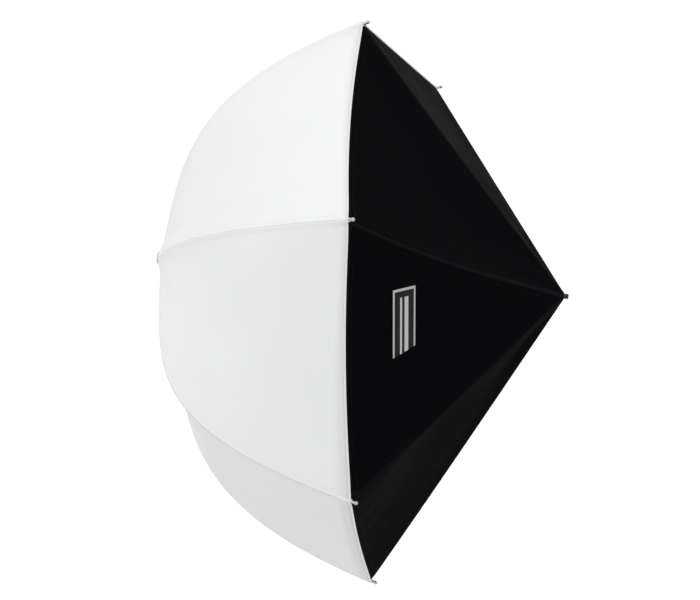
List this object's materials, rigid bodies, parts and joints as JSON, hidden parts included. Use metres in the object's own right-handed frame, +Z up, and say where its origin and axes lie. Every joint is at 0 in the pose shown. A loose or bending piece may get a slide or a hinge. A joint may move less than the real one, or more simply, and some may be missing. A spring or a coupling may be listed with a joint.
{
  "type": "umbrella softbox",
  "caption": "Folding umbrella softbox: white translucent dome on bowed ribs with a black cone-shaped rear cover, on a central shaft.",
  "frame": {"origin": "centre of the shaft's free rear end, where a holder takes it", "axes": "+X along the shaft from the crown to its free rear end, +Z up, +Y away from the front of the view"},
  "size_m": [0.6544, 0.8936, 0.8678],
  "materials": {
    "black_tube": "satin black enamel",
    "black_plug": "moulded",
    "crown_white": "moulded",
    "cap_grey": "moulded",
    "pin_steel": "drawn wire",
    "runner_black": "moulded",
    "spring_steel": "bright",
    "cuff_elastic": "knitted elastic",
    "rib_rod": "satin",
    "rib_fitting": "plated",
    "rib_point": "plated",
    "stretcher_bar": "satin",
    "diffuser": "translucent white nylon",
    "black_cover": "coated black nylon",
    "binding_tape": "grosgrain",
    "zip_metal": "blackened"
  },
  "bodies": {
    "shaft": {"shaft_tube": "black_tube", "shaft_end_plug": "black_plug", "crown": "crown_white", "crown_cap": "cap_grey", "crown_pins": "pin_steel"},
    "runner": {"runner": "runner_black", "runner_pins": "pin_steel"},
    "catch": {"shaft_catch": "spring_steel"},
    "cuff": {"cover_cuff": "cuff_elastic"},
    "rib_1_arm": {"rib_1": "rib_rod", "rib_end_1": "rib_fitting", "rib_bracket_1": "rib_fitting", "rib_tip_1": "rib_point"},
    "stretcher_1_bar": {"stretcher_1": "stretcher_bar"},
    "rib_2_arm": {"rib_2": "rib_rod", "rib_end_2": "rib_fitting", "rib_bracket_2": "rib_fitting", "rib_tip_2": "rib_point"},
    "stretcher_2_bar": {"stretcher_2": "stretcher_bar"},
    "rib_3_arm": {"rib_3": "rib_rod", "rib_end_3": "rib_fitting", "rib_bracket_3": "rib_fitting", "rib_tip_3": "rib_point"},
    "stretcher_3_bar": {"stretcher_3": "stretcher_bar"},
    "rib_4_arm": {"rib_4": "rib_rod", "rib_end_4": "rib_fitting", "rib_bracket_4": "rib_fitting", "rib_tip_4": "rib_point"},
    "stretcher_4_bar": {"stretcher_4": "stretcher_bar"},
    "rib_5_arm": {"rib_5": "rib_rod", "rib_end_5": "rib_fitting", "rib_bracket_5": "rib_fitting", "rib_tip_5": "rib_point"},
    "stretcher_5_bar": {"stretcher_5": "stretcher_bar"},
    "rib_6_arm": {"rib_6": "rib_rod", "rib_end_6": "rib_fitting", "rib_bracket_6": "rib_fitting", "rib_tip_6": "rib_point"},
    "stretcher_6_bar": {"stretcher_6": "stretcher_bar"},
    "gore_1": {"canopy_gore_1": "diffuser"},
    "cover_1": {"cover_panel_1": "black_cover"},
    "gore_2": {"canopy_gore_2": "diffuser"},
    "cover_2": {"cover_panel_2": "black_cover"},
    "gore_3": {"canopy_gore_3": "diffuser"},
    "cover_3": {"cover_panel_3": "black_cover"},
    "gore_4": {"canopy_gore_4": "diffuser"},
    "cover_4": {"cover_panel_4": "black_cover", "slot_binding": "binding_tape"},
    "gore_5": {"canopy_gore_5": "diffuser"},
    "cover_5": {"cover_panel_5": "black_cover"},
    "gore_6": {"canopy_gore_6": "diffuser"},
    "cover_6": {"cover_panel_6": "black_cover"},
    "zip": {"zip_slider": "zip_metal", "zip_pull": "zip_metal"}
  },
  "joints": [
    {"name": "frame_fold", "type": "slide", "parent": "shaft", "child": "runner", "axis": [1, 0, 0], "range_m": [0, 0.215]},
    {"name": "rib_1_fold", "type": "hinge", "parent": "shaft", "child": "rib_1_arm", "pos_m": [-0.643, -0.00537, 0.01073], "axis": [0, 0.8942, 0.4478], "range_deg": [0, 47.83]},
    {"name": "stretcher_1_swing", "type": "hinge", "parent": "runner", "child": "stretcher_1_bar", "pos_m": [-0.455, -0.00216, 0.01458], "axis": [0, 0.8942, 0.4478], "range_deg": [-36.2, 0]},
    {"name": "rib_2_fold", "type": "hinge", "parent": "shaft", "child": "rib_2_arm", "pos_m": [-0.643, -0.01184, 0.00198], "axis": [0, 0.165, 0.9863], "range_deg": [0, 45.61]},
    {"name": "stretcher_2_swing", "type": "hinge", "parent": "runner", "child": "stretcher_2_bar", "pos_m": [-0.455, -0.01305, 0.00685], "axis": [0, 0.165, 0.9863], "range_deg": [-50.35, 0]},
    {"name": "rib_3_fold", "type": "hinge", "parent": "shaft", "child": "rib_3_arm", "pos_m": [-0.643, -0.00789, -0.00904], "axis": [0, -0.7536, 0.6574], "range_deg": [0, 43.82]},
    {"name": "stretcher_3_swing", "type": "hinge", "parent": "runner", "child": "stretcher_3_bar", "pos_m": [-0.455, -0.01267, -0.00753], "axis": [0, -0.7536, 0.6574], "range_deg": [-31.9, 0]},
    {"name": "rib_4_fold", "type": "hinge", "parent": "shaft", "child": "rib_4_arm", "pos_m": [-0.643, 0.00294, -0.01163], "axis": [0, -0.9694, -0.2453], "range_deg": [0, 49.98]},
    {"name": "stretcher_4_swing", "type": "hinge", "parent": "runner", "child": "stretcher_4_bar", "pos_m": [-0.455, -0.00103, -0.0147], "axis": [0, -0.9694, -0.2453], "range_deg": [-30.27, 0]},
    {"name": "rib_5_fold", "type": "hinge", "parent": "shaft", "child": "rib_5_arm", "pos_m": [-0.643, 0.0118, -0.00217], "axis": [0, -0.1805, -0.9836], "range_deg": [0, 46.68]},
    {"name": "stretcher_5_swing", "type": "hinge", "parent": "runner", "child": "stretcher_5_bar", "pos_m": [-0.455, 0.01294, -0.00705], "axis": [0, -0.1805, -0.9836], "range_deg": [-39.18, 0]},
    {"name": "rib_6_fold", "type": "hinge", "parent": "shaft", "child": "rib_6_arm", "pos_m": [-0.643, 0.00805, 0.0089], "axis": [0, 0.742, -0.6704], "range_deg": [0, 46.44]},
    {"name": "stretcher_6_swing", "type": "hinge", "parent": "runner", "child": "stretcher_6_bar", "pos_m": [-0.455, 0.0128, 0.0073], "axis": [0, 0.742, -0.6704], "range_deg": [-38.62, 0]},
    {"name": "gore_1_fold", "type": "hinge", "parent": "shaft", "child": "gore_1", "pos_m": [-0.643, -0.0086, 0.00636], "axis": [0, 0.5941, 0.8044], "range_deg": [0, 44.64], "deforming": ["canopy_gore_1"]},
    {"name": "cover_1_fold", "type": "hinge", "parent": "gore_1", "child": "cover_1", "pos_m": [-0.29492, -0.30644, 0.22634], "axis": [0, 0.5941, 0.8044], "range_deg": [-95.13, 0], "deforming": ["cover_panel_1"]},
    {"name": "gore_2_fold", "type": "hinge", "parent": "shaft", "child": "gore_2", "pos_m": [-0.643, -0.00986, -0.00353], "axis": [0, -0.3371, 0.9415], "range_deg": [0, 42], "deforming": ["canopy_gore_2"]},
    {"name": "cover_2_fold", "type": "hinge", "parent": "gore_2", "child": "cover_2", "pos_m": [-0.26121, -0.35771, -0.12808], "axis": [0, -0.3371, 0.9415], "range_deg": [-95.75, 0], "deforming": ["cover_panel_2"]},
    {"name": "gore_3_fold", "type": "hinge", "parent": "shaft", "child": "gore_3", "pos_m": [-0.643, -0.00247, -0.01034], "axis": [0, -0.9726, 0.2326], "range_deg": [0, 44.79], "deforming": ["canopy_gore_3"]},
    {"name": "cover_3_fold", "type": "hinge", "parent": "gore_3", "child": "cover_3", "pos_m": [-0.26828, -0.09518, -0.398], "axis": [0, -0.9726, 0.2326], "range_deg": [-99.92, 0], "deforming": ["cover_panel_3"]},
    {"name": "gore_4_fold", "type": "hinge", "parent": "shaft", "child": "gore_4", "pos_m": [-0.643, 0.00737, -0.0069], "axis": [0, -0.6833, -0.7302], "range_deg": [0, 44.62], "deforming": ["canopy_gore_4"]},
    {"name": "cover_4_fold", "type": "hinge", "parent": "gore_4", "child": "cover_4", "pos_m": [-0.28043, 0.28855, -0.27002], "axis": [0, -0.6833, -0.7302], "range_deg": [-97.59, 0], "deforming": ["cover_panel_4", "slot_binding"]},
    {"name": "gore_5_fold", "type": "hinge", "parent": "shaft", "child": "gore_5", "pos_m": [-0.643, 0.00992, 0.00337], "axis": [0, 0.3214, -0.9469], "range_deg": [0, 43.9], "deforming": ["canopy_gore_5"]},
    {"name": "cover_5_fold", "type": "hinge", "parent": "gore_5", "child": "cover_5", "pos_m": [-0.27963, 0.36615, 0.12429], "axis": [0, 0.3214, -0.9469], "range_deg": [-96.31, 0], "deforming": ["cover_panel_5"]},
    {"name": "gore_6_fold", "type": "hinge", "parent": "shaft", "child": "gore_6", "pos_m": [-0.643, 0.00134, 0.00982], "axis": [0, 0.9909, -0.1349], "range_deg": [0, 42.75], "deforming": ["canopy_gore_6"]},
    {"name": "cover_6_fold", "type": "hinge", "parent": "gore_6", "child": "cover_6", "pos_m": [-0.3012, 0.04756, 0.34948], "axis": [0, 0.9909, -0.1349], "range_deg": [-90.4, 0], "deforming": ["cover_panel_6"]},
    {"name": "cuff_slide", "type": "slide", "parent": "shaft", "child": "cuff", "axis": [1, 0, 0], "range_m": [0, 0.35211]},
    {"name": "catch_press", "type": "slide", "parent": "shaft", "child": "catch", "axis": [0, -0.1736, -0.9848], "range_m": [0, 0.0024], "stiffness_N_per_m": 600},
    {"name": "zip_slide", "type": "slide", "parent": "cover_4", "child": "zip", "axis": [0.5712, -0.58, 0.5808], "range_m": [0, 0.18]}
  ],
  "couplings": [
    {"joint": "rib_1_fold", "follows": "frame_fold", "rad_per_m": 3.8789},
    {"joint": "stretcher_1_swing", "follows": "frame_fold", "rad_per_m": -2.9341},
    {"joint": "rib_2_fold", "follows": "frame_fold", "rad_per_m": 3.6988},
    {"joint": "stretcher_2_swing", "follows": "frame_fold", "rad_per_m": -4.0834},
    {"joint": "rib_3_fold", "follows": "frame_fold", "rad_per_m": 3.5531},
    {"joint": "stretcher_3_swing", "follows": "frame_fold", "rad_per_m": -2.5854},
    {"joint": "rib_4_fold", "follows": "frame_fold", "rad_per_m": 4.0533},
    {"joint": "stretcher_4_swing", "follows": "frame_fold", "rad_per_m": -2.4529},
    {"joint": "rib_5_fold", "follows": "frame_fold", "rad_per_m": 3.7854},
    {"joint": "stretcher_5_swing", "follows": "frame_fold", "rad_per_m": -3.1768},
    {"joint": "rib_6_fold", "follows": "frame_fold", "rad_per_m": 3.7659},
    {"joint": "stretcher_6_swing", "follows": "frame_fold", "rad_per_m": -3.1315},
    {"joint": "gore_1_fold", "follows": "frame_fold", "rad_per_m": 3.6199},
    {"joint": "cover_1_fold", "follows": "frame_fold", "rad_per_m": -7.7187},
    {"joint": "gore_2_fold", "follows": "frame_fold", "rad_per_m": 3.4058},
    {"joint": "cover_2_fold", "follows": "frame_fold", "rad_per_m": -7.7684},
    {"joint": "gore_3_fold", "follows": "frame_fold", "rad_per_m": 3.6319},
    {"joint": "cover_3_fold", "follows": "frame_fold", "rad_per_m": -8.1069},
    {"joint": "gore_4_fold", "follows": "frame_fold", "rad_per_m": 3.618},
    {"joint": "cover_4_fold", "follows": "frame_fold", "rad_per_m": -7.9183},
    {"joint": "gore_5_fold", "follows": "frame_fold", "rad_per_m": 3.56},
    {"joint": "cover_5_fold", "follows": "frame_fold", "rad_per_m": -7.8139},
    {"joint": "gore_6_fold", "follows": "frame_fold", "rad_per_m": 3.4667},
    {"joint": "cover_6_fold", "follows": "frame_fold", "rad_per_m": -7.3342},
    {"joint": "cuff_slide", "follows": "frame_fold", "ratio": 1.6354}
  ]
}
